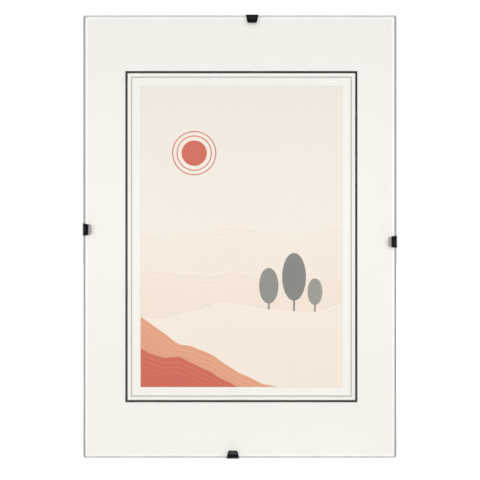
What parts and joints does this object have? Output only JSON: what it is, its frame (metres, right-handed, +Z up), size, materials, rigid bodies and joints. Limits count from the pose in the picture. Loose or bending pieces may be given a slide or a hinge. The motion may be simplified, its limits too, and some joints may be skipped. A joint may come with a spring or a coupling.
{
  "type": "clip frame",
  "caption": "Frameless portrait clip frame: glass, printed card and hardboard back held together by spring-steel edge clips whose tails hook into the board and carry hanging eyes.",
  "frame": {"origin": "on the wall plane, where the middle of the round top of the top clip's hanging eye meets it", "axes": "+X to the right as seen from the front, +Y from the glass towards the wall, +Z up"},
  "size_m": [0.211, 0.0098, 0.298],
  "materials": {
    "picture_glass": "fine-etched picture glass with ground edges",
    "white_card": "matte",
    "printed_card": "matte",
    "hardboard": "satin",
    "black_spring_steel": "satin"
  },
  "bodies": {
    "stack": {"glass_pane": "picture_glass", "passepartout_sheet": "white_card", "picture_panel": "printed_card", "backing_board": "hardboard"},
    "clip_top_body": {"clip_top": "black_spring_steel"},
    "clip_right_body": {"clip_right": "black_spring_steel"},
    "clip_bottom_body": {"clip_bottom": "black_spring_steel"},
    "clip_left_body": {"clip_left": "black_spring_steel"}
  },
  "joints": [
    {"name": "clip_top_release", "type": "hinge", "parent": "stack", "child": "clip_top_body", "pos_m": [0, -0.01094, 0.00346], "axis": [1, 0, 0], "range_deg": [0, 25], "stiffness_Nm_per_rad": 0.1, "springref_deg": -28.65},
    {"name": "clip_right_release", "type": "hinge", "parent": "stack", "child": "clip_right_body", "pos_m": [0.0942, -0.01094, -0.14584], "axis": [0, 0, -1], "range_deg": [0, 25], "stiffness_Nm_per_rad": 0.1, "springref_deg": -28.65},
    {"name": "clip_bottom_release", "type": "hinge", "parent": "stack", "child": "clip_bottom_body", "pos_m": [-0.013, -0.01094, -0.28834], "axis": [-1, 0, 0], "range_deg": [0, 25], "stiffness_Nm_per_rad": 0.1, "springref_deg": -28.65},
    {"name": "clip_left_release", "type": "hinge", "parent": "stack", "child": "clip_left_body", "pos_m": [-0.1106, -0.01094, -0.13764], "axis": [0, 0, 1], "range_deg": [0, 25], "stiffness_Nm_per_rad": 0.1, "springref_deg": -28.65}
  ]
}
